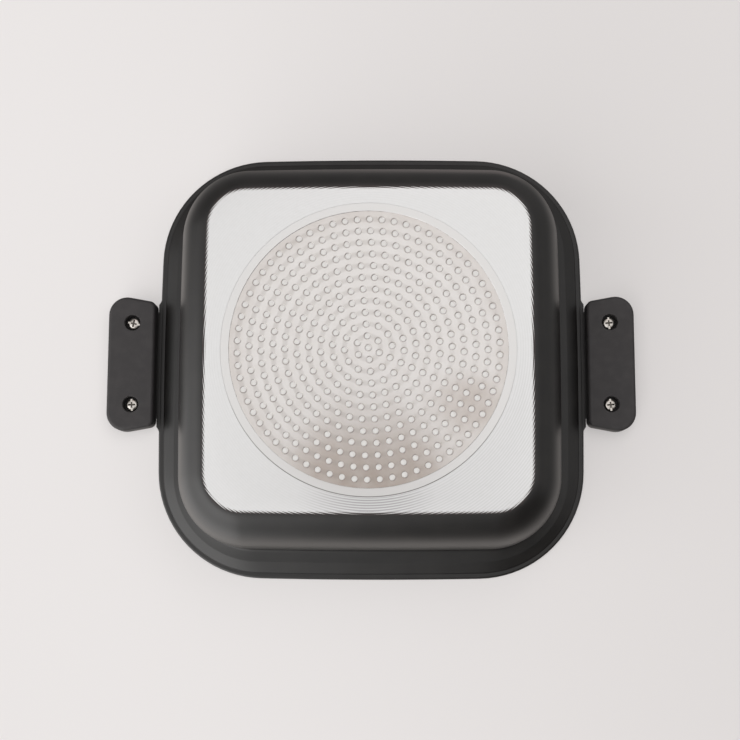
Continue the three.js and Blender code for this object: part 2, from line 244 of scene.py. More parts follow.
class MeshDraft:
    """The vertices and faces of one piece while it is drawn, in millimetres."""

    def __init__(self) -> None:
        """Starts with nothing drawn."""
        self.points: list[Vector] = []
        self.faces: list[tuple[int, ...]] = []

    def ring(self, loop: Loop, z: float) -> list[int]:
        """Adds a level loop of points.

        Args:
            loop: the points across.
            z: their height.

        Returns:
            The new points' numbers.
        """
        first = len(self.points)
        self.points += [Vector((p[0], p[1], z)) for p in loop]
        return list(range(first, len(self.points)))

    def bridge(self, ring: list[int], other: list[int]) -> None:
        """Joins two closed rings of equal length by a strip of quads."""
        for i in range(len(ring)):
            following = (i + 1) % len(ring)
            self.faces.append((ring[i], ring[following], other[following], other[i]))

    def stack(self, levels: list[tuple[Loop, float]], start: list[int] | None = None) -> list[int]:
        """Joins closed loops, one after another.

        Args:
            levels: each loop with its height.
            start: a ring that is already there, to begin from.

        Returns:
            The last ring.
        """
        ring = start
        for loop, z in levels:
            further = self.ring(loop, z)
            if ring is not None:
                self.bridge(ring, further)
            ring = further
        return ring

    def close(self, ring: list[int], z: float) -> None:
        """Closes a ring by a fan of triangles to a point on its middle."""
        middle = sum((self.points[i] for i in ring), Vector()) / len(ring)
        self.points.append(Vector((middle.x, middle.y, z)))
        tip = len(self.points) - 1
        self.faces += [(ring[i], ring[(i + 1) % len(ring)], tip) for i in range(len(ring))]

    def lathe(self, centre: Pair, section: Loop, steps: int, start: list[int] | None = None) -> list[int]:
        """Turns a section about an upright axis.

        Args:
            centre: where the axis stands.
            section: radii with their heights.
            steps: number of points around.
            start: a ring that is already there, to begin from.

        Returns:
            The last ring.
        """
        return self.stack([(circle(centre, radius, steps), z) for radius, z in section], start)

    def spindle(self, centre: Pair, section: Loop, steps: int, tip: float) -> None:
        """Turns a section about an upright axis and closes both its ends.

        Args:
            centre: where the axis stands.
            section: radii with their heights.
            steps: number of points around.
            tip: height of the point that closes the first end.
        """
        first = self.lathe(centre, section[:1], steps)
        last = self.lathe(centre, section[1:], steps, first)
        self.close(first, tip)
        self.close(last, section[-1][1])

    def sheet(self, rings: list[list[int]]) -> None:
        """Fills the flat space between an outer ring and the rings of round holes."""
        loops = [[tuple(self.points[i].xy) for i in ring] for ring in rings]
        names = [i for ring in rings for i in ring]
        self.faces += [tuple(names[i] for i in face) for face in sheet_triangles(loops[0], loops[1:])]

    def extrude(self, outline: Loop, holes: list[Loop], low: float, high: float) -> None:
        """Draws a plate with round holes.

        Args:
            outline: its outer loop.
            holes: loops around each hole.
            low: height of its lower face.
            high: height of its upper face.
        """
        lower = [self.ring(loop, low) for loop in (outline, *holes)]
        upper = [self.ring(loop, high) for loop in (outline, *holes)]
        self.sheet(lower)
        self.sheet(upper)
        for ring, other in zip(lower, upper):
            self.bridge(ring, other)

    def make(self, name: str, crease: float = 30.0) -> Piece:
        """Turns the draft into an object.

        Args:
            name: the object's name.
            crease: edges sharper than this angle, in degrees, stay sharp.

        Returns:
            The new object, smooth shaded, in metres.
        """
        mesh = bpy.data.meshes.new(name)
        mesh.from_pydata([p * MM for p in self.points], [], self.faces)
        made = bpy.data.objects.new(name, mesh)
        bpy.context.scene.collection.objects.link(made)
        tidy_mesh(mesh, crease)
        return made


def tidy_mesh(mesh: bpy.types.Mesh, crease: float) -> None:
    """Points all faces outwards and shades the mesh smooth up to a crease angle in degrees."""
    work = bmesh.new()
    work.from_mesh(mesh)
    bmesh.ops.recalc_face_normals(work, faces=work.faces)
    work.to_mesh(mesh)
    work.free()
    mesh.shade_smooth()
    mesh.set_sharp_from_angle(angle=math.radians(crease))


def combine(piece: Piece, way: Way, tools: list[Piece], crease: float = 30.0) -> None:
    """Joins other meshes to a piece or cuts them out of it, and removes them.

    Args:
        piece: the piece that is changed.
        way: whether the others are joined or cut.
        tools: closed meshes to join or cut.
        crease: edges sharper than this angle, in degrees, stay sharp.
    """
    for tool in tools:
        step = piece.modifiers.new(way.name, "BOOLEAN")
        step.operation = way.value
        step.solver = "EXACT"
        step.object = tool
    seen = piece.evaluated_get(bpy.context.evaluated_depsgraph_get())
    mesh = bpy.data.meshes.new_from_object(seen)
    piece.modifiers.clear()
    piece.data = mesh
    for tool in tools:
        bpy.data.objects.remove(tool)
    tidy_mesh(mesh, crease)


def block(low: Point, high: Point, taper: float = 1.0) -> Piece:
    """A cutter between two corners.

    Args:
        low: lowest corner.
        high: highest corner.
        taper: share of the width that is left at the top.

    Returns:
        The cutter.
    """
    draft = MeshDraft()
    middle = ((low[0] + high[0]) / 2, (low[1] + high[1]) / 2)
    loop = [(low[0], low[1]), (high[0], low[1]), (high[0], high[1]), (low[0], high[1])]
    small = [(middle[0] + (x - middle[0]) * taper, middle[1] + (y - middle[1]) * taper) for x, y in loop]
    bottom = draft.ring(loop, low[2])
    top = draft.ring(small, high[2])
    draft.bridge(bottom, top)
    draft.faces += [tuple(bottom), tuple(top)]
    return draft.make("cutter")


def operation(name: str, swapped: bool = False) -> Callable[..., "Shade"]:
    """Gives a method that adds a Math node.

    Args:
        name: the node's operation.
        swapped: whether the other number comes first.

    Returns:
        The method.
    """
    def method(self: "Shade", *others: "Feed") -> "Shade":
        """The result of the operation."""
        feeds = (*others, self) if swapped else (self, *others)
        return self.bench.number(name, *feeds)

    return method


class Shade:
    """A number in a shader, with Python's operators and these methods standing for Math nodes."""

    __add__ = operation("ADD")
    __radd__ = operation("ADD", swapped=True)
    __sub__ = operation("SUBTRACT")
    __rsub__ = operation("SUBTRACT", swapped=True)
    __mul__ = operation("MULTIPLY")
    __truediv__ = operation("DIVIDE")
    __abs__ = operation("ABSOLUTE")
    root = operation("SQRT")
    fraction = operation("FRACT")
    nearest = operation("ROUND")
    cosine = operation("COSINE")
    angle_over = operation("ARCTAN2")
    least = operation("MINIMUM")
    most = operation("MAXIMUM")

    def __init__(self, bench: "Bench", socket: Socket) -> None:
        """Wraps one output of a node."""
        self.bench = bench
        self.socket = socket

    def hypot(self, other: "Shade") -> "Shade":
        """The length of a line with these two parts."""
        return (self * self + other * other).root()

    def ramp(self, low: float, high: float) -> "Shade":
        """A smooth step from 0 at low to 1 at high."""
        feeds = {"Value": self, "From Min": low, "From Max": high}
        made = self.bench.node("ShaderNodeMapRange", feeds, {"interpolation_type": "SMOOTHSTEP"})
        return Shade(self.bench, made.outputs["Result"])


Feed = Shade | Socket | float | tuple


class Bench:
    """A node tree that nodes are added to."""

    def __init__(self, tree: bpy.types.NodeTree) -> None:
        """Takes an empty node tree."""
        self.tree = tree

    @classmethod
    def of(cls, owner: Material | bpy.types.World) -> "Bench":
        """The node tree of a material or a world, emptied."""
        owner.use_nodes = True
        owner.node_tree.nodes.clear()
        return cls(owner.node_tree)

    def feed(self, node: Node, feeds: dict[str | int, "Feed"]) -> None:
        """Sets or links inputs of a node, by name or number, with full alpha for a colour."""
        for key, feed in feeds.items():
            source = feed.socket if isinstance(feed, Shade) else feed
            if isinstance(source, Socket):
                self.tree.links.new(source, node.inputs[key])
            else:
                node.inputs[key].default_value = (*source, 1.0) if isinstance(source, tuple) else source

    def node(self, kind: str, feeds: dict | None = None, settings: dict | None = None) -> Node:
        """Adds a node.

        Args:
            kind: the node's type.
            feeds: values or links for its inputs, by name or number.
            settings: its own properties, set first.

        Returns:
            The new node.
        """
        made = self.tree.nodes.new(kind)
        for name, setting in (settings or {}).items():
            setattr(made, name, setting)
        self.feed(made, feeds or {})
        return made

    def number(self, operation: str, *feeds: Feed) -> Shade:
        """Adds a Math node and gives its result."""
        made = self.node("ShaderNodeMath", dict(enumerate(feeds)), {"operation": operation})
        return Shade(self, made.outputs[0])

    def blend(self, factor: Feed, first: Feed, second: Feed) -> Socket:
        """Mixes two colours.

        Args:
            factor: how much of the second colour shows.
            first: the colour at 0.
            second: the colour at 1.

        Returns:
            The mixed colour.
        """
        feeds = {0: factor, 6: first, 7: second}
        return self.node("ShaderNodeMix", feeds, {"data_type": "RGBA"}).outputs[2]

    def spot(self) -> Socket:
        """The place on the piece, in metres in the pot's frame."""
        return self.node("ShaderNodeTexCoord").outputs["Object"]

    def across(self, vector: Feed, scale: float = 1.0) -> tuple[Shade, Shade, Shade]:
        """The three parts of a vector, each times a scale."""
        parts = self.node("ShaderNodeSeparateXYZ", {"Vector": vector}).outputs
        return tuple(Shade(self, part) * scale for part in parts)

    def grain(self, size: float, detail: float = 2.0) -> Shade:
        """Noise between 0 and 1.

        Args:
            size: the width of its spots in millimetres.
            detail: how many finer layers it has.

        Returns:
            The noise.
        """
        feeds = {"Vector": self.spot(), "Scale": 1.0 / (size * MM), "Detail": detail}
        return Shade(self, self.node("ShaderNodeTexNoise", feeds).outputs[0])

    def bump(self, height: Shade) -> Socket:
        """The surface's direction with a height in millimetres laid on it."""
        return self.node("ShaderNodeBump", {"Strength": 1.0, "Distance": MM, "Height": height}).outputs[0]


def oval(x: Shade, y: Shade, middle: Pair, size: Pair) -> Shade:
    """How far a point lies from the middle of an oval, as a share of the oval's half widths."""
    return ((x - middle[0]) / size[0]).hypot((y - middle[1]) / size[1])


@dataclass(frozen=True)
class HolePattern:
    """Rings of holes around one centre hole, each ring with six more than the one inside it."""

    diameter: float = 3.4
    rings: int = 11
    pitch: float = 6.66
    growth: int = 6
    turn: float = 25.0

    def centres(self) -> list[Pair]:
        """The middle of every hole."""
        places = [(0.0, 0.0)]
        for ring in range(1, self.rings + 1):
            count = self.growth * ring
            for hole in range(count):
                angle = math.radians(self.turn) + 2 * math.pi * hole / count
                places.append((ring * self.pitch * math.cos(angle), ring * self.pitch * math.sin(angle)))
        return places

    def nearest(self, x: Shade, y: Shade) -> tuple[Shade, Shade]:
        """Where a point lies from its nearest hole.

        Args:
            x: place along X in millimetres.
            y: place along Y in millimetres.

        Returns:
            The distance along the ring, by growing angle, and the distance outwards.
        """
        radius = x.hypot(y)
        ring = (radius / self.pitch).nearest()
        angle = y.angle_over(x) - math.radians(self.turn)
        step = angle * (ring * (self.growth / (2 * math.pi)))
        along = ((step + 0.5).fraction() - 0.5) * ring.least(1.0) * (2 * math.pi * self.pitch / self.growth)
        return along, radius - ring * self.pitch


@dataclass(frozen=True)
class Finish:
    """A material made of nodes."""

    name: str

    def material(self) -> Material:
        """The material, with its nodes made by the finish itself."""
        made = bpy.data.materials.new(self.name)
        bench = Bench.of(made)
        shader = bench.node("ShaderNodeBsdfPrincipled")
        bench.node("ShaderNodeOutputMaterial", {"Surface": shader.outputs[0]})
        self.dress(bench, shader)
        return made

    def dress(self, bench: Bench, shader: Node) -> None:
        """Makes the nodes that feed the shader."""
        raise NotImplementedError


@dataclass(frozen=True)
class CoatedCasting(Finish):
    """Satin black coating over the casting, turned away to bare metal on the flat base."""

    base_half: float
    core_half: float
    side_bow: float
    line_radius: float
    seat_depth: float
    turn_pitch: float = 1.4
    groove_depth: float = 0.006
    tooth: float = 1.7
    chip: float = 0.25
    chip_size: float = 0.6
    fringe_width: float = 0.9
    speck_size: float = 0.35
    speck_depth: float = 0.006
    coat_cloud: float = 14.0
    metal_cloud: float = 3.0
    line_fade: Pair = (0.1, 0.35)
    line_front: float = 0.15  # strength of the painted shade in the turned line at the front, where it is faint
    glint: float = 0.75  # painted reflection: how dark the grooves' painted shade is at the middle of the back
    glint_x: float = 3.0
    glint_wide: Pair = (4.0, 50.0)
    glint_deep: Pair = (60.0, 84.0)
    corner_glint: float = 0.15
    corner_deep: Pair = (60.0, 130.0)
    faint_glint: float = 0.05
    metallic: float = 0.62
    roughness: float = 0.32
    polish: float = 0.16
    ior: float = 1.6
    coat: Colour = (0.0062, 0.0056, 0.0054)
    coat_worn: Colour = (0.0105, 0.0094, 0.0088)
    metal: Colour = (0.83, 0.83, 0.83)
    metal_dull: Colour = (0.78, 0.78, 0.775)
    # painted shade in the valleys of the turning grooves
    valley: Colour = (0.34, 0.335, 0.34)
    # painted shade in the turned line
    line: Colour = (0.30, 0.29, 0.28)
    ring: Colour = (0.775, 0.765, 0.755)
    fringe: Colour = (0.05, 0.030, 0.026)

    def edge_distance(self, x: Shade, y: Shade) -> Shade:
        """How far a point of the underside lies outside the base's edge, in millimetres."""
        corner = self.core_half - self.side_bow
        wide = abs(x)
        deep = abs(y)
        past_x = (wide - corner).most(0.0)
        past_y = (deep - corner).most(0.0)
        level = (wide.least(deep) / corner).least(1.0)
        bow = (1.0 - level * level) * self.side_bow
        return past_x.hypot(past_y) - bow - (self.base_half - self.core_half)

    def coat_colour(self, bench: Bench, ragged: Shade, z: Shade) -> Socket:
        """The coat's colour, with a brown fringe where the turning ends.

        Args:
            bench: the node tree to work in.
            ragged: distance outside the ragged edge of the bare metal, in millimetres.
            z: height in millimetres.

        Returns:
            The colour.
        """
        worn = bench.grain(self.coat_cloud, 3.0).ramp(0.3, 0.8)
        fringe = (1.0 - ragged.ramp(0.1, self.fringe_width)) * (1.0 - z.ramp(2.0, 4.0))
        return bench.blend(fringe, bench.blend(worn, self.coat, self.coat_worn), self.fringe)

    def metal_colour(self, bench: Bench, x: Shade, y: Shade, grooves: Shade) -> Socket:
        """The bare metal's colour, with the ring inside the turned line, painted shade in the grooves and
        painted shade in the turned line.

        Args:
            bench: the node tree to work in.
            x: place along X in millimetres.
            y: place along Y in millimetres.
            grooves: how deep in a groove a point lies, from 0 to 1.

        Returns:
            The colour.
        """
        radius = x.hypot(y)
        inner = 1.0 - radius.ramp(self.line_radius - 0.3, self.line_radius)
        back_side = (y / radius).ramp(0.1, 0.95)
        # painted shade in the turned line, standing in for a dark reflection, faint at the front and full at
        # the back
        line = 1.0 - abs(radius - self.line_radius).ramp(*self.line_fade)
        line = line * (self.line_front + back_side * (1.0 - self.line_front))
        # painted reflection: the grooves' painted shade is strongest at the middle of the back and towards
        # the back right, faint elsewhere
        glint = (1.0 - abs(x - self.glint_x).ramp(*self.glint_wide)) * y.ramp(*self.glint_deep) * self.glint
        clear = glint.most(self.faint_glint + (x + y).ramp(*self.corner_deep) * self.corner_glint)
        metal = bench.blend(bench.grain(self.metal_cloud, 4.0), self.metal, self.metal_dull)
        metal = bench.blend(inner, metal, self.ring)
        metal = bench.blend(grooves * clear, metal, self.valley)
        return bench.blend(line, metal, self.line)

    def dress(self, bench: Bench, shader: Node) -> None:
        """Coat and bare metal, parted by the edge that the turning tool left."""
        x, y, z = bench.across(bench.spot(), 1 / MM)
        radius = x.hypot(y)
        teeth = ((radius / self.turn_pitch).fraction() - 0.5) * self.tooth
        chips = (bench.grain(self.chip_size) - 0.5) * self.chip
        ragged = self.edge_distance(x, y) + teeth + chips
        low = 1.0 - z.ramp(self.seat_depth + 0.1, self.seat_depth + 0.4)
        bare = (1.0 - ragged.ramp(-0.05, 0.05)) * low
        turned = radius.ramp(self.line_radius + 0.3, self.line_radius + 0.8)
        groove = (radius * (2 * math.pi / self.turn_pitch)).cosine() * turned * bare
        speck = bench.grain(self.speck_size)
        coat = self.coat_colour(bench, ragged, z)
        metal = self.metal_colour(bench, x, y, (0.5 - groove * 0.5) * turned)
        height = groove * self.groove_depth + (speck - 0.5) * (1.0 - bare) * self.speck_depth
        bench.feed(shader, {
            "Base Color": bench.blend(bare, coat, metal),
            "Metallic": bare * self.metallic,
            "Roughness": self.roughness - bare * self.polish + speck * 0.06,
            "IOR": self.ior,
            "Normal": bench.bump(height),
        })


@dataclass(frozen=True)
class SatinPlate(Finish):
    """Satin stainless plate with rubbed marks beside each hole and a warm painted reflection towards its
    back and its edge.
    """

    pattern: HolePattern
    plate_radius: float
    steel: Colour = (0.81, 0.785, 0.765)
    steel_dull: Colour = (0.77, 0.74, 0.715)
    rub: Colour = (0.34, 0.305, 0.28)
    # the colour of the warm painted reflection
    tint: Colour = (0.42, 0.34, 0.285)
    tint_place: Pair = (58.0, 32.0)
    tint_size: Pair = (34.0, 26.0)
    tint_edge: float = 14.0
    patch_tint: float = 0.5
    back_tint: float = 0.72
    edge_tint: float = 0.2
    rub_place: Pair = (-2.3, 0.0)
    rub_size: Pair = (1.5, 0.9)
    rim_rub: float = 0.3
    behind_rub: float = 0.45
    tail_rub: float = 0.42
    band_rub: float = 0.24
    band_drop: float = 0.14  # how much weaker the bands are at the right
    cloud_size: float = 9.0
    grain_size: float = 0.5
    metallic: float = 0.65
    roughness: float = 0.15
    grain_depth: float = 0.002

    def rubbed(self, x: Shade, y: Shade) -> Shade:
        """How dark the rubbed metal beside the nearest hole is, from 0 to 1."""
        along, outwards = self.pattern.nearest(x, y)
        past_hole = along.hypot(outwards) - self.pattern.diameter / 2
        rim = 1.0 - abs(past_hole - 0.15).ramp(0.1, 0.5)
        behind = (along * -1.0).ramp(-0.6, 1.2)
        tail = 1.0 - oval(along, outwards, self.rub_place, self.rub_size).ramp(0.1, 1.0)
        band = 1.0 - abs(outwards).ramp(0.7, 2.0)
        worn = self.band_rub - (x / self.plate_radius).ramp(-0.3, 0.8) * self.band_drop
        rim = rim * (self.rim_rub + behind * self.behind_rub)
        return rim.most(tail * self.tail_rub).most(band * worn)

    def dress(self, bench: Bench, shader: Node) -> None:
        """Satin steel, its warm painted reflection and its rubbed marks."""
        x, y, _ = bench.across(bench.spot(), 1 / MM)
        radius = x.hypot(y)
        cloud = bench.grain(self.cloud_size, 4.0)
        fine = bench.grain(self.grain_size, 3.0)
        # painted reflection: a warm, darker tone in a patch at the back right, along the back and near the
        # edge
        patch = 1.0 - oval(x, y, self.tint_place, self.tint_size).ramp(0.1, 1.0)
        back_side = (y / radius).ramp(0.7, 0.98) * radius.ramp(20.0, 75.0)
        edge = radius.ramp(self.plate_radius - self.tint_edge, self.plate_radius)
        painted_reflection = (patch * self.patch_tint).most(back_side * self.back_tint).most(edge * self.edge_tint)
        painted_reflection = painted_reflection * (0.65 + cloud * 0.6)
        steel = bench.blend(cloud.ramp(0.3, 0.75), self.steel, self.steel_dull)
        steel = bench.blend(painted_reflection.least(1.0), steel, self.tint)
        bench.feed(shader, {
            "Base Color": bench.blend(self.rubbed(x, y), steel, self.rub),
            "Metallic": self.metallic,
            "Roughness": self.roughness + fine * 0.07,
            "Normal": bench.bump((fine - 0.5) * self.grain_depth),
        })


@dataclass(frozen=True)
class Grained(Finish):
    """A plain material with a fine grain, metal by default."""

    colour: Colour
    dull: Colour
    roughness: float
    metallic: float = 1.0
    cloud_size: float = 2.0
    grain_size: float = 0.4
    grain_depth: float = 0.003

    def dress(self, bench: Bench, shader: Node) -> None:
        """Grain in the colour, the gloss and the surface."""
        cloud = bench.grain(self.cloud_size, 3.0)
        fine = bench.grain(self.grain_size) - 0.5
        bench.feed(shader, {
            "Base Color": bench.blend(cloud.ramp(0.35, 0.75), self.colour, self.dull),
            "Metallic": self.metallic,
            "Roughness": self.roughness + fine * 0.12,
            "Normal": bench.bump(fine * self.grain_depth),
        })


@dataclass(frozen=True)
class MouldedResin(Grained):
    """Matte black resin with the fine texture of its mould."""

    colour: Colour = (0.029, 0.0266, 0.0272)
    dull: Colour = (0.036, 0.0328, 0.0334)
    roughness: float = 0.61
    metallic: float = 0.0
    cloud_size: float = 6.0
    grain_size: float = 0.45
    grain_depth: float = 0.02


@dataclass(frozen=True, kw_only=True)
class PlatedHead(Grained):
    """Bright plating, with painted shade deep in the slot and the cross of each head."""

    head_x: float
    head_y: float
    head_low: float
    head_radius: float = 3.6
    crown: float = 0.9
    stain: Colour = (0.05, 0.04, 0.033)
    stain_depths: Pair = (0.85, 1.4)
    stain_strength: float = 0.92

    def dress(self, bench: Bench, shader: Node) -> None:
        """Plating, then painted shade wherever the metal lies far below the head's dome."""
        super().dress(bench, shader)
        x, y, z = bench.across(bench.spot(), 1 / MM)
        off_x = (abs(x) - self.head_x) / self.head_radius
        off_y = (abs(y) - self.head_y) / self.head_radius
        level = (1.0 - (off_x * off_x + off_y * off_y).least(1.0)).root()
        depth = z - self.head_low - (1.0 - level) * self.crown
        # painted shade, deepest in the slot and the cross
        recess_shaded = depth.ramp(*self.stain_depths) * self.stain_strength
        plating = shader.inputs["Base Color"].links[0].from_socket
        bench.feed(shader, {"Base Color": bench.blend(recess_shaded, plating, self.stain)})


def settle(piece: Piece, slot: Slot, material: Material, *nodes: str) -> None:
    """Dresses a piece, makes it ride on the pot and lets it stand for CAD nodes.

    Args:
        piece: the finished mesh.
        slot: the record's material slot for the piece; not used.
        material: its material.
        nodes: the CAD nodes that it stands for.
    """
    piece.data.materials.clear()
    piece.data.materials.append(material)
    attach(piece, "root")
    if nodes:
        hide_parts(*nodes)
    LOG.info("%s: %d faces", piece.name, len(piece.data.polygons))


@dataclass
class PotBody:
    """The cast body with its machined base, stepped rim and two lugs."""

    rim_half: float
    height: float
    seat_radius: float
    corner_radius: float = 60.0
    corner_gain: float = 5.0  # how much larger the rim's corners are than corners parallel to the wall's
    side_bow: float = 0.7
    shoulder_run: float = 20.7
    shoulder_height: float = 50.0
    wall: float = 3.5
    floor: float = 5.5
    lip_width: float = 3.2
    lip_thickness: float = 2.8
    lip_round: float = 1.3
    lip_step: float = 0.4
    slope_step: float = 0.7
    slope_run: float = 6.8
    ledge_drop: float = 3.2
    ledge_overhang: float = 7.8
    ledge_tilt: float = 0.7  # how far the ledge's underside lies from level at each end
    ledge_fillet: float = 2.5
    slope_round: float = 4.0
    step_round: float = 0.25
    lip_fillet: float = 1.2
    slope_fillet: float = 3.0
    mouth_round: float = 2.0
    rim_thickness: float = 3.5
    seat_depth: float = 1.0
    seat_edge: float = 0.12
    floor_patch: float = 4.0
    line_radius: float = 82.7
    line_width: float = 0.5
    line_depth: float = 0.15
    lug_root_drop: float = 0.4
    lug_flare: float = 3.0
    lug_edge: float = 0.4
    lug_bend: float = 1.0
    lug_lift: float = 0.1  # how far the root's underside lies above the lip's
    lug_hole: float = 2.3
    tongue_corner: float = 4.0
    cut_margin: float = 1.0
    bevel_angle: float = 40.0
    side_steps: int = 16
    corner_steps: int = 20
    arc_steps: int = 6
    shoulder_steps: int = 26
    hole_steps: int = 24

    @property
    def core_half(self) -> float:
        """Half of the inner square that the levels up to the wall are offset from."""
        return self.rim_half - self.corner_radius

    @property
    def lip_inner(self) -> float:
        """Half width at the inside of the lip."""
        return self.rim_half - self.lip_width

    @property
    def ledge_half(self) -> float:
        """Half width at the outer edge of the ledge."""
        return self.lip_inner - self.slope_run

    @property
    def wall_half(self) -> float:
        """Half width over the walls."""
        return self.ledge_half - self.ledge_overhang

    @property
    def base_half(self) -> float:
        """Half width of the flat base."""
        return self.wall_half - self.shoulder_run

    def level(self, half: float) -> Loop:
        """One level of the body: a square with round corners and slightly bowed sides.

        Args:
            half: half of its width, at the middle of a side.

        Returns:
            Points around it.
        """
        past_wall = max(0.0, half - self.wall_half) / (self.rim_half - self.wall_half)
        core_half = self.core_half - self.corner_gain * past_wall
        offset = half - core_half
        corner = core_half - self.side_bow
        bow_radius = (corner**2 + self.side_bow**2) / (2 * self.side_bow)
        bow_angle = math.asin(corner / bow_radius)
        reach = bow_radius + offset
        points: Loop = []
        for side in range(4):
            turn = Matrix.Rotation(side * math.pi / 2, 2)
            for step in range(self.side_steps):
                angle = bow_angle * (2 * step / self.side_steps - 1)
                place = (core_half - bow_radius + reach * math.cos(angle), reach * math.sin(angle))
                points.append(tuple(turn @ Vector(place)))
            for step in range(self.corner_steps):
                angle = bow_angle + (math.pi / 2 - 2 * bow_angle) * step / self.corner_steps
                place = (corner + offset * math.cos(angle), corner + offset * math.sin(angle))
                points.append(tuple(turn @ Vector(place)))
        return points

    def round_level(self, radius: float) -> Loop:
        """A circle whose points lie in the same directions as those of the base's edge."""
        return [tuple(Vector(p).normalized() * radius) for p in self.level(self.base_half)]

    def between_level(self, share: float) -> Loop:
        """A level part of the way from the turned line out to the base's edge."""
        outer = self.level(self.base_half)
        inner = self.round_level(self.line_radius + self.line_width)
        return [tuple(Vector(a).lerp(Vector(b), share)) for a, b in zip(inner, outer)]

    def section(self) -> Loop:
        """Half of the body's section above the base, as half widths and heights, up to the floor inside."""
        top = self.height
        ledge_top = top - self.ledge_drop
        ledge_under = ledge_top - self.rim_thickness
        lip_under = top - self.lip_thickness
        inside = self.wall_half - self.wall
        floor_half = self.base_half - self.wall
        shoulder = self.shoulder_height
        outside_arc = ellipse_arc((self.base_half, shoulder), (self.shoulder_run, shoulder),
                                  -90.0, 0.0, self.shoulder_steps)
        rim = rounded_path([
            Corner(self.wall_half, shoulder),
            Corner(self.wall_half, ledge_under - self.ledge_tilt, self.ledge_fillet),
            Corner(self.ledge_half, ledge_under + self.ledge_tilt, self.slope_round),
            Corner(self.lip_inner - self.lip_step, lip_under - self.slope_step, self.step_round),
            Corner(self.lip_inner, lip_under, self.step_round),
            Corner(self.rim_half, lip_under, self.lip_round),
            Corner(self.rim_half, top, self.lip_round),
            Corner(self.lip_inner, top, self.lip_fillet),
            Corner(self.ledge_half, ledge_top, self.slope_fillet),
            Corner(inside, ledge_top, self.mouth_round),
            Corner(inside, shoulder),
        ], self.arc_steps, closed=False)
        inside_arc = ellipse_arc((floor_half, shoulder), (inside - floor_half, shoulder - self.floor),
                                 0.0, -90.0, self.shoulder_steps)
        return outside_arc[1:-1] + rim + inside_arc[1:]

    def build_shell(self) -> Piece:
        """The body's mesh, from the disc seat over the base, the walls and the rim to the floor inside."""
        draft = MeshDraft()
        line = self.line_radius
        half_line = self.line_width / 2
        seat = draft.ring(self.round_level(self.seat_radius), self.seat_depth)
        ring = draft.stack([
            (self.round_level(self.seat_radius), self.seat_edge),
            (self.round_level(self.seat_radius + self.seat_edge), 0.0),
            (self.round_level(line - half_line), 0.0),
            (self.round_level(line - half_line / 2), self.line_depth),
            (self.round_level(line + half_line / 2), self.line_depth),
            (self.round_level(line + half_line), 0.0),
            (self.between_level(0.0), 0.0),
            (self.between_level(0.5), 0.0),
            (self.level(self.base_half), 0.0),
        ], seat)
        draft.close(seat, self.seat_depth)
        ring = draft.stack([(self.level(half), z) for half, z in self.section()], ring)
        ring = draft.stack([(self.level(self.core_half + self.floor_patch), self.floor)], ring)
        draft.close(ring, self.floor)
        return draft.make("pot_shell")

    def plate(self, name: str, half: list[Corner], holes: list[Loop], heights: Pair) -> Piece:
        """A plate that is the same on both sides of the X axis.

        Args:
            name: the object's name.
            half: the corners on the side of growing Y, from the inside out.
            holes: loops around each hole.
            heights: heights of its lower and upper face.

        Returns:
            The plate.
        """
        corners = [Corner(c.x, -c.y, c.radius) for c in half] + half[::-1]
        draft = MeshDraft()
        draft.extrude(rounded_path(corners, self.arc_steps, closed=True), holes, *heights)
        return draft.make(name)

    def build_lug(self, grip: "Grip") -> Piece:
        """One cast lug: its root at the lip and the tongue that the grip is pushed over.

        Args:
            grip: the grip that it carries.

        Returns:
            The lug's mesh.
        """
        flare = grip.inner_half + self.lug_flare
        root_x = grip.inner_x - grip.clearance
        half_root = [
            Corner(self.lip_inner, flare),
            Corner(self.rim_half - self.side_bow, flare, self.lug_edge),
            Corner(self.rim_half + self.side_bow / 2, grip.inner_half + self.lug_flare / 3, self.lug_bend),
            Corner(root_x, grip.inner_half, self.lug_edge),
        ]
        half_tongue = [
            Corner(self.rim_half - self.lip_round, grip.tongue_half),
            Corner(grip.tongue_end, grip.tongue_half, self.tongue_corner),
        ]
        places = [(grip.screw_x, end.value * grip.screw_y) for end in End]
        holes = [circle(place, self.lug_hole, self.hole_steps) for place in places]
        low = grip.tongue_low
        margin = self.cut_margin
        root = self.plate("root", half_root, [], (low, self.height - self.lug_root_drop))
        lug = self.plate(f"{grip.side.label}_lug", half_tongue, holes, (low, low + grip.tongue_thickness))
        under = block((self.lip_inner - margin, -flare - margin, low - margin),
                      (root_x, flare + margin, self.height - self.lip_thickness + self.lug_lift))
        combine(lug, Way.JOIN, [root])
        combine(lug, Way.CUT, [under])
        lug.data.transform(Matrix.Rotation(math.radians(grip.side.value), 4, "Z"))
        bevel = lug.modifiers.new("edges", "BEVEL")
        bevel.width = self.lug_edge * MM
        bevel.segments = 2
        bevel.angle_limit = math.radians(self.bevel_angle)
        return lug

    def build(self, grips: list["Grip"]) -> None:
        """Builds and dresses the shell and its lugs."""
        finish = CoatedCasting("coated_casting", self.base_half, self.core_half, self.side_bow,
                               self.line_radius, self.seat_depth)
        material = finish.material()
        settle(self.build_shell(), Slot.COATED_ALUMINIUM, material, "pot_body")
        for grip in grips:
            settle(self.build_lug(grip), Slot.COATED_ALUMINIUM, material, "pot_body")


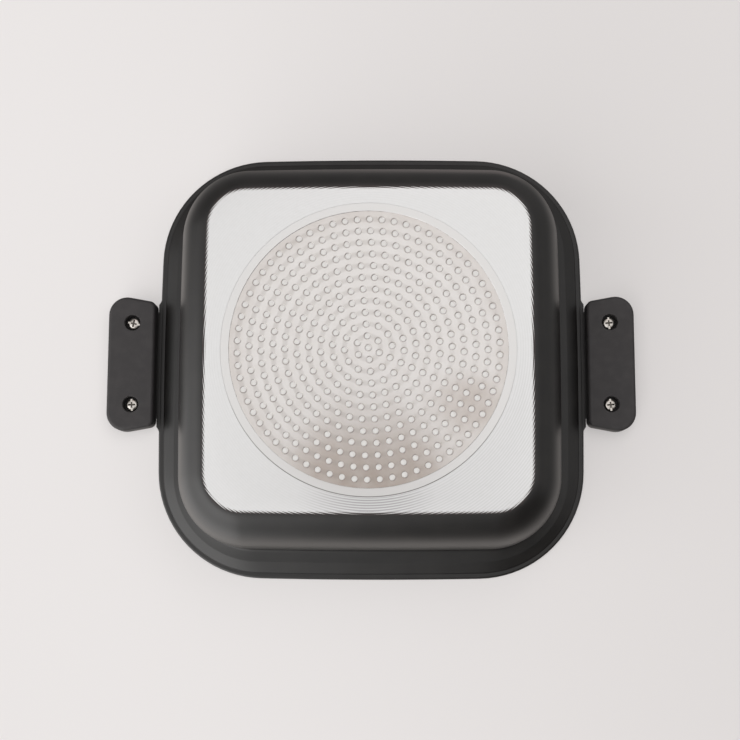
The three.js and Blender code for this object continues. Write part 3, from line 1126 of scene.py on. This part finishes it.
@dataclass
class InductionDisc:
    """The perforated plate in the base, and the base metal that fills its holes."""

    radius: float
    face: float
    back: float
    pattern: HolePattern = field(default_factory=HolePattern)
    roll: float = 0.4
    roll_depth: float = 0.16
    hold: float = 0.1  # flat band beside each rounding, which keeps the face's shading even
    edge: float = 0.12
    pip_gap: float = 0.06
    pip_drop: float = 0.12
    pip_edge: float = 0.15
    pip_bend: float = 0.3  # share of the pip's edge where it bends
    seat: float = 1.0
    crease: float = 50.0
    hole_steps: int = 20
    rim_steps: int = 180
    edge_steps: int = 4

    def build_plate(self) -> Piece:
        """The plate, with each hole's edge rolled in."""
        draft = MeshDraft()
        hole = self.pattern.diameter / 2
        roll = ellipse_arc((hole + self.roll, self.face + self.roll_depth), (self.roll, self.roll_depth),
                           -90.0, -180.0, self.edge_steps)
        edge = ellipse_arc((self.radius - self.edge, self.face + self.edge), (self.edge, self.edge),
                           -90.0, 0.0, self.edge_steps)
        middle = (0.0, 0.0)
        rim = circle(middle, self.radius - self.edge - self.hold, self.rim_steps)
        faces = [draft.ring(rim, self.face)]
        backs = [draft.lathe(middle, [*edge, (self.radius, self.back)], self.rim_steps, faces[0])]
        for centre in self.pattern.centres():
            start = draft.ring(circle(centre, hole + self.roll + self.hold, self.hole_steps), self.face)
            faces.append(start)
            backs.append(draft.lathe(centre, [*roll, (hole, self.back)], self.hole_steps, start))
        draft.sheet(faces)
        draft.sheet(backs)
        return draft.make("disc_plate", self.crease)

    def build_pips(self) -> Piece:
        """The flat-topped pips of base metal in the holes."""
        draft = MeshDraft()
        radius = self.pattern.diameter / 2 - self.pip_gap
        top = self.face + self.pip_drop
        bend = self.pip_edge * self.pip_bend
        section = [
            (radius - self.pip_edge - self.hold, top),
            (radius - self.pip_edge, top),
            (radius - bend, top + bend),
            (radius, top + self.pip_edge),
            (radius, self.seat),
        ]
        for centre in self.pattern.centres():
            draft.spindle(centre, section, self.hole_steps, top)
        return draft.make("base_pips", self.crease)

    def build(self) -> None:
        """Builds and dresses the plate and the pips."""
        plate = SatinPlate("satin_plate", self.pattern, self.radius).material()
        bright = Grained("bare_pips", colour=(0.73, 0.715, 0.70), dull=(0.70, 0.68, 0.66),
                           roughness=0.36, metallic=0.5)
        settle(self.build_plate(), Slot.STAINLESS_DISC, plate, "induction_disc")
        settle(self.build_pips(), Slot.COATED_ALUMINIUM, bright.material())


@dataclass
class Grip:
    """One moulded tab grip with its two screw wells and the slot for the tongue."""

    side: Side
    inner_x: float
    outer_x: float
    bottom: float
    top: float
    screw_x: float
    screw_y: float
    well_floor: float
    inner_half: float = 37.9
    outer_half: float = 43.2
    outer_corner: float = 11.0
    inner_corner: float = 4.0
    edge: float = 2.0
    tongue_half: float = 33.0
    tongue_inset: float = 6.0
    tongue_thickness: float = 3.0
    web: float = 2.0
    clearance: float = 0.3
    well_radius: float = 4.8
    well_edge: float = 0.4
    hold: float = 0.2  # flat band beside each rounding, which keeps the face's shading even
    cut_margin: float = 1.0
    crease: float = 40.0
    arc_steps: int = 10
    edge_steps: int = 6
    well_steps: int = 40
    well_edge_steps: int = 4

    @classmethod
    def from_frame(cls, side: Side) -> "Grip":
        """A grip placed by its CAD node and its screws."""
        turn = Matrix.Rotation(math.radians(-side.value), 3, "Z")
        corners = [turn @ corner for corner in node_box(f"{side.label}_grip")]
        screws = [turn @ (sum(node_box(f"{side.label}_{end.label}_screw"), Vector()) / 2) for end in End]
        reach = sorted(corner.x for corner in corners)
        heights = sorted(corner.z for corner in corners)
        well_floor = node_box(f"{side.label}_front_spring_washer")[1].z + SEAT_GAP
        return cls(side, *reach, *heights, screws[0].x, abs(screws[0].y), well_floor)

    @property
    def tongue_low(self) -> float:
        """Height of the tongue's underside."""
        return self.well_floor + self.web + self.clearance

    @property
    def tongue_end(self) -> float:
        """How far out the tongue reaches."""
        return self.outer_x - self.tongue_inset

    def outline(self, inset: float) -> Loop:
        """The grip from below, drawn in by some distance."""
        return rounded_path([
            Corner(self.inner_x, -self.inner_half, self.inner_corner),
            Corner(self.outer_x, -self.outer_half, self.outer_corner),
            Corner(self.outer_x, self.outer_half, self.outer_corner),
            Corner(self.inner_x, self.inner_half, self.inner_corner),
        ], self.arc_steps, closed=True, inset=inset)

    def build_block(self) -> Piece:
        """The right grip's block with round edges and screw wells."""
        draft = MeshDraft()
        corner = (self.edge, self.edge)
        rounding = ellipse_arc(corner, corner, -90.0, -180.0, self.edge_steps)
        low = [(self.outline(inset), self.bottom + rise) for inset, rise in rounding]
        high = [(self.outline(inset), self.top - rise) for inset, rise in reversed(rounding)]
        face = draft.ring(self.outline(self.edge + self.hold), self.bottom)
        ring = draft.stack([*low, *high, (self.outline(self.edge + self.hold), self.top)], face)
        draft.faces.append(tuple(ring))
        wells = []
        mouth = self.well_radius + self.well_edge
        rim = ellipse_arc((mouth, self.bottom + self.well_edge), (self.well_edge, self.well_edge),
                          -90.0, -180.0, self.well_edge_steps)
        for end in End:
            centre = (self.screw_x, end.value * self.screw_y)
            start = draft.ring(circle(centre, mouth + self.hold, self.well_steps), self.bottom)
            well = [*rim, (self.well_radius, self.well_floor)]
            draft.close(draft.lathe(centre, well, self.well_steps, start), self.well_floor)
            wells.append(start)
        draft.sheet([face, *wells])
        return draft.make(f"{self.side.label}_tab_grip", self.crease)

    def build(self, material: Material) -> None:
        """Builds, slots and dresses the grip."""
        grip = self.build_block()
        reach = self.tongue_half + self.clearance
        low = (self.inner_x - self.cut_margin, -reach, self.tongue_low - self.clearance)
        tongue_high = self.tongue_low + self.tongue_thickness
        high = (self.tongue_end + self.clearance, reach, tongue_high + self.clearance)
        combine(grip, Way.CUT, [block(low, high)], self.crease)
        grip.data.transform(Matrix.Rotation(math.radians(self.side.value), 4, "Z"))
        settle(grip, Slot.MOULDED_RESIN, material, f"{self.side.label}_grip")


@dataclass
class ScrewSet:
    """A combination head screw and its split spring washer, in one well of a grip."""

    side: Side
    end: End
    turn: float
    diameter: float = 4.0
    head_diameter: float = 7.2
    head_height: float = 2.6
    head_crown: float = 0.9
    head_edge: float = 0.15
    slot_width: float = 1.1
    slot_depth: float = 1.1
    cross_span: float = 5.5
    cross_width: float = 1.3
    cross_depth: float = 1.7
    cross_taper: float = 0.55
    thread_start: float = 0.8
    thread_pitch: float = 0.7
    thread_depth: float = 0.35
    tip_edge: float = 0.4
    washer_gap: float = 0.3
    washer_edge: float = 0.1
    washer_split: float = 14.0  # degrees between the washer's ends
    washer_lift: float = 0.08
    cut_margin: float = 1.0
    crease: float = 35.0
    washer_crease: float = 25.0
    crown_start: float = -86.0  # degrees, just off the middle of the crown
    crown_steps: int = 8
    round_steps: int = 48

    @property
    def label(self) -> str:
        """The screw's place in the names of its pieces."""
        return f"{self.side.label}_{self.end.label}"

    def screw_section(self, length: float) -> Loop:
        """Half of the screw's section, head down, from the crown to the tip."""
        radius = self.head_diameter / 2
        shank = self.diameter / 2
        edge = -(self.head_height - self.head_crown)
        points = ellipse_arc((0.0, edge), (radius, self.head_crown), self.crown_start, 0.0, self.crown_steps)
        points += [(radius, -self.head_edge), (radius - self.head_edge, 0.0), (shank, 0.0)]
        z = self.thread_start
        while z + self.thread_pitch < length:
            points += [(shank, z), (shank - self.thread_depth, z + self.thread_pitch / 2)]
            z += self.thread_pitch
        return [*points, (shank, length - self.tip_edge), (shank - self.tip_edge, length)]

    def build_screw(self) -> Piece:
        """The screw's mesh in its place, with its slot and cross cut."""
        low, high = node_box(f"{self.label}_screw")
        centre = (low + high) / 2
        draft = MeshDraft()
        section = self.screw_section(high.z - low.z - self.head_height)
        draft.spindle((0.0, 0.0), section, self.round_steps, -self.head_height)
        screw = draft.make(f"{self.label}_combination_screw", self.crease)
        below = -self.head_height - self.cut_margin
        wide = self.head_diameter / 2 + self.cut_margin
        half_slot = self.slot_width / 2
        slot_end = self.slot_depth - self.head_height
        span = self.cross_span / 2
        half_cross = self.cross_width / 2
        cross_end = self.cross_depth - self.head_height
        combine(screw, Way.CUT, [
            block((-wide, -half_slot, below), (wide, half_slot, slot_end)),
            block((-span, -half_cross, below), (span, half_cross, cross_end), self.cross_taper),
            block((-half_cross, -span, below), (half_cross, span, cross_end), self.cross_taper),
        ], self.crease)
        place = Matrix.Translation(Vector((centre.x, centre.y, low.z + self.head_height)) * MM)
        screw.data.transform(place @ Matrix.Rotation(math.radians(self.turn), 4, "Z"))
        return screw

    def build_washer(self) -> Piece:
        """The washer's mesh in its place: one turn of square wire, its ends a little apart."""
        low, high = node_box(f"{self.label}_spring_washer")
        centre = (low + high) / 2
        outer = (high.x - low.x) / 2
        inner = self.diameter / 2 + self.washer_gap
        edge = self.washer_edge
        draft = MeshDraft()
        rings = []
        for step in range(self.round_steps + 1):
            share = step / self.round_steps
            angle = math.radians(self.washer_split / 2 + (360.0 - self.washer_split) * share)
            lift = self.washer_lift * (share - 0.5)
            bottom = low.z + self.washer_lift / 2 + lift
            top = high.z - self.washer_lift / 2 + lift
            section = [
                (inner + edge, bottom), (outer - edge, bottom), (outer, bottom + edge), (outer, top - edge),
                (outer - edge, top), (inner + edge, top), (inner, top - edge), (inner, bottom + edge),
            ]
            first = len(draft.points)
            spoke = Vector((math.cos(angle), math.sin(angle)))
            draft.points += [Vector((*(centre.xy + spoke * r), z)) for r, z in section]
            rings.append(list(range(first, first + len(section))))
        for ring, other in zip(rings, rings[1:]):
            draft.bridge(ring, other)
        draft.faces += [tuple(rings[0]), tuple(rings[-1])]
        return draft.make(f"{self.label}_split_washer", self.washer_crease)

    def build(self, plated: Material, spring: Material) -> None:
        """Builds and dresses the screw and its washer."""
        settle(self.build_screw(), Slot.PLATED_SCREW, plated, f"{self.label}_screw")
        settle(self.build_washer(), Slot.SPRING_STEEL, spring, f"{self.label}_spring_washer")


@dataclass(frozen=True)
class Wedge:
    """A wedge of directions that widens along its way, as seen from above, and fades at its edges."""

    way: Pair
    spread: float
    edge: Pair
    slant: Pair  # sines of the angles from upright between which it fades in

    def share(self, x: Shade, y: Shade) -> Shade:
        """How far a direction lies in the wedge, from 0 to 1."""
        ahead = x * self.way[0] + y * self.way[1]
        beside = abs(x * self.way[1] - y * self.way[0])
        return (ahead - beside * self.spread).ramp(*self.edge) * x.hypot(y).ramp(*self.slant)


@dataclass(frozen=True)
class Room:
    """The soft light all around: a window at the back left, a dark back right and a dim front left.

    A dim spot lies straight below, where the viewer is, and a bright strip beyond it at the front.
    """

    backdrop: Colour
    window: Wedge = Wedge((-0.80, 0.60), 0.79, (0.03, 0.28), (0.35, 0.65))
    shade: Wedge = Wedge((0.55, 0.835), 1.2, (-0.08, 0.22), (0.05, 0.35))
    corner: Wedge = Wedge((-0.55, -0.835), 0.9, (0.1, 0.4), (0.3, 0.6))
    strip: Wedge = Wedge((0.0, -1.0), 0.6, (0.35, 0.5), (0.8, 0.65))
    viewer_way: Pair = (-0.02, -0.045)
    viewer_size: Pair = (0.055, 0.042)
    viewer_edge: Pair = (0.6, 1.4)
    fill_near: Colour = (0.80, 0.79, 0.785)
    fill_wide: Colour = (0.42, 0.41, 0.405)
    fill_high: Colour = (0.22, 0.215, 0.21)
    viewer_tone: Colour = (0.06, 0.05, 0.045)
    strip_tone: Colour = (1.15, 0.98, 0.96)
    corner_tone: Colour = (0.26, 0.25, 0.245)
    shade_tone: Colour = (0.11, 0.105, 0.10)
    pane_low: Colour = (2.3, 2.28, 2.26)
    pane_high: Colour = (1.25, 1.24, 1.23)
    above_front: Colour = (0.26, 0.24, 0.225)
    above_back: Colour = (0.75, 0.70, 0.665)
    above_left: Colour = (0.80, 0.745, 0.71)
    above_right: Colour = (0.50, 0.465, 0.445)

    def below(self, bench: Bench, x: Shade, y: Shade, z: Shade) -> Socket:
        """The light from the sides and from below.

        Args:
            bench: the world's node tree.
            x: the direction's part along X.
            y: its part along Y.
            z: its part along Z.

        Returns:
            The light's colour.
        """
        viewer = 1.0 - oval(x, y, self.viewer_way, self.viewer_size).ramp(*self.viewer_edge)
        pane = bench.blend(z.ramp(-0.55, 0.35), self.pane_low, self.pane_high)
        tone = bench.blend(x.hypot(y).ramp(0.35, 0.85), self.fill_near, self.fill_wide)
        layers = [
            (z.ramp(-0.2, 0.6), self.fill_high),
            (viewer, self.viewer_tone),
            (self.strip.share(x, y), self.strip_tone),
            (self.corner.share(x, y), self.corner_tone),
            (self.shade.share(x, y), self.shade_tone),
            (self.window.share(x, y), pane),
        ]
        for share, colour in layers:
            tone = bench.blend(share, tone, colour)
        return tone

    def above(self, bench: Bench, x: Shade, y: Shade) -> Socket:
        """The light from above, which differs from side to side.

        Args:
            bench: the world's node tree.
            x: the direction's part along X.
            y: its part along Y.

        Returns:
            The light's colour.
        """
        aside = x.hypot(y)
        ends = bench.blend((y / aside).ramp(-0.5, 0.5), self.above_front, self.above_back)
        flanks = bench.blend((x / aside).ramp(-0.5, 0.5), self.above_left, self.above_right)
        return bench.blend((abs(x) / aside).ramp(0.4, 0.9), ends, flanks)

    def build(self) -> None:
        """Makes the room, of which the camera sees only an even backdrop."""
        world = bpy.data.worlds.new("room")
        bench = Bench.of(world)
        x, y, z = bench.across(bench.node("ShaderNodeTexCoord").outputs["Generated"])
        light = bench.blend(z.ramp(0.5, 0.95), self.below(bench, x, y, z), self.above(bench, x, y))
        seen = bench.node("ShaderNodeLightPath").outputs["Is Camera Ray"]
        colour = bench.blend(seen, light, self.backdrop)
        glow = bench.node("ShaderNodeBackground", {"Color": colour, "Strength": 1.0})
        bench.node("ShaderNodeOutputWorld", {"Surface": glow.outputs[0]})
        bpy.context.scene.world = world


@dataclass
class Studio:
    """The table top, the floor, the room's light, the lamps and the camera."""

    table_height: float
    reach: float = 6000.0
    gap: float = 0.2
    camera_place: Point = (13.5, 105.0, -706.1)
    camera_aim: Point = (-0.4, 2.8, 74.6)
    camera_up: Point = (-0.0018, -1.0, 0.0)
    lens: float = 62.4
    sensor: float = 36.0
    pale: Colour = (0.80, 0.775, 0.768)
    pale_right: Colour = (0.70, 0.675, 0.668)
    pale_reach: float = 260.0  # how far to each side the painted shade changes
    pale_slant: float = 0.25
    table_glow: float = 0.5
    floor_glow: float = 0.6
    backdrop: Colour = (0.72, 0.70, 0.69)
    fade: Pair = (600.0, 2400.0)  # where the paint starts and ends to fade into the backdrop

    def plane(self, name: str, z: float, up: bool, glow: float) -> None:
        """Adds a wide one-sided plane that only the camera sees.

        Args:
            name: the plane's name.
            z: its height in millimetres.
            up: whether it faces up.
            glow: the share of its tone that no shadow falls on.
        """
        r = self.reach
        loop = [(-r, -r), (r, -r), (r, r), (-r, r)]
        mesh = bpy.data.meshes.new(name)
        faces = [(0, 1, 2, 3) if up else (3, 2, 1, 0)]
        mesh.from_pydata([Vector((x, y, z)) * MM for x, y in loop], [], faces)
        mesh.materials.append(self.plane_material(name, glow))
        made = bpy.data.objects.new(name, mesh)
        bpy.context.scene.collection.objects.link(made)
        made.visible_diffuse = False
        made.visible_glossy = False
        made.visible_transmission = False
        made.visible_shadow = False

    def plane_material(self, name: str, glow: float) -> Material:
        """Matte pale paint with painted shade, a little darker towards the right, part of it glowing, seen
        from the front only.
        """
        made = bpy.data.materials.new(name)
        bench = Bench.of(made)
        x, y, _ = bench.across(bench.spot(), 1 / MM)
        # painted shade: the paint darkens towards the right, as if the light fell from the left
        painted_shade_share = (x - y * self.pale_slant).ramp(-self.pale_reach, self.pale_reach)
        far = x.hypot(y).ramp(*self.fade)
        colour = bench.blend(far, bench.blend(painted_shade_share, self.pale, self.pale_right), self.backdrop)
        matte = bench.node("ShaderNodeBsdfDiffuse", {"Color": colour}).outputs[0]
        # painted light: part of the paint glows, so the object's shadow on it is weaker
        glowing_paint = bench.node("ShaderNodeEmission", {"Color": colour}).outputs[0]
        paint = bench.node("ShaderNodeMixShader", {0: far.most(glow), 1: matte, 2: glowing_paint}).outputs[0]
        clear = bench.node("ShaderNodeBsdfTransparent").outputs[0]
        behind = bench.node("ShaderNodeNewGeometry").outputs["Backfacing"]
        mixed = bench.node("ShaderNodeMixShader", {0: behind, 1: paint, 2: clear}).outputs[0]
        bench.node("ShaderNodeOutputMaterial", {"Surface": mixed})
        return made

    def lamp(self, name: str, place: Point, size: float, power: float) -> None:
        """Adds a square soft lamp that shines on the pot.

        Args:
            name: the lamp's name.
            place: where it hangs, in millimetres.
            size: its width in millimetres.
            power: its power in watts.
        """
        light = bpy.data.lights.new(name, "AREA")
        light.size = size * MM
        light.energy = power
        made = bpy.data.objects.new(name, light)
        made.location = Vector(place) * MM
        made.rotation_euler = (-made.location).to_track_quat("-Z", "Y").to_euler()
        made.visible_glossy = False
        bpy.context.scene.collection.objects.link(made)

    def set_camera(self) -> None:
        """The camera, looking at the underside as the photograph does."""
        data = bpy.data.cameras.new("view")
        data.sensor_width = self.sensor
        data.lens = self.lens
        made = bpy.data.objects.new("view", data)
        place = Vector(self.camera_place)
        back = (place - Vector(self.camera_aim)).normalized()
        right = Vector(self.camera_up).cross(back).normalized()
        turn = Matrix((right, back.cross(right), back)).transposed().to_4x4()
        made.matrix_world = Matrix.Translation(place * MM) @ turn
        bpy.context.scene.collection.objects.link(made)
        bpy.context.scene.camera = made

    def build(self) -> None:
        """Sets everything up around the pot."""
        self.plane("table_top", self.table_height + self.gap, up=False, glow=self.table_glow)
        self.plane("floor", -self.gap, up=True, glow=self.floor_glow)
        Room(self.backdrop).build()
        self.lamp("low_softbox", (200.0, -150.0, -1250.0), size=1300.0, power=8.5)
        self.lamp("overhead_softbox", (-500.0, -650.0, 1000.0), size=900.0, power=9.0)
        self.set_camera()
        bpy.context.scene.view_settings.view_transform = "Standard"


# Turn of each screw's slot about Z, in degrees.
SCREW_TURNS = {
    (Side.LEFT, End.FRONT): 12.0,
    (Side.LEFT, End.BACK): 87.0,
    (Side.RIGHT, End.FRONT): 84.5,
    (Side.RIGHT, End.BACK): 84.5,
}


def main() -> None:
    """Builds the pot piece by piece, then the studio around it."""
    logging.basicConfig(level=logging.INFO, format="%(message)s")
    body_high = node_box("pot_body")[1]
    disc_low, disc_high = node_box("induction_disc")
    grips = [Grip.from_frame(side) for side in Side]
    resin = MouldedResin("moulded_resin").material()
    plated = PlatedHead("nickel_plate", colour=(0.86, 0.82, 0.77), dull=(0.74, 0.69, 0.63),
                        roughness=0.22, cloud_size=4.0, grain_size=0.8,
                        head_x=grips[0].screw_x, head_y=grips[0].screw_y,
                        head_low=node_box("right_front_screw")[0].z).material()
    spring = Grained("spring_steel", colour=(0.36, 0.35, 0.34), dull=(0.26, 0.25, 0.24),
                       roughness=0.40).material()
    PotBody(body_high.y, body_high.z, disc_high.x + SEAT_GAP).build(grips)
    InductionDisc(disc_high.x, disc_low.z, disc_high.z).build()
    for grip in grips:
        grip.build(resin)
    for (side, end), turn in SCREW_TURNS.items():
        ScrewSet(side, end, turn).build(plated, spring)
    Studio(body_high.z).build()


if __name__ == "__main__":
    main()
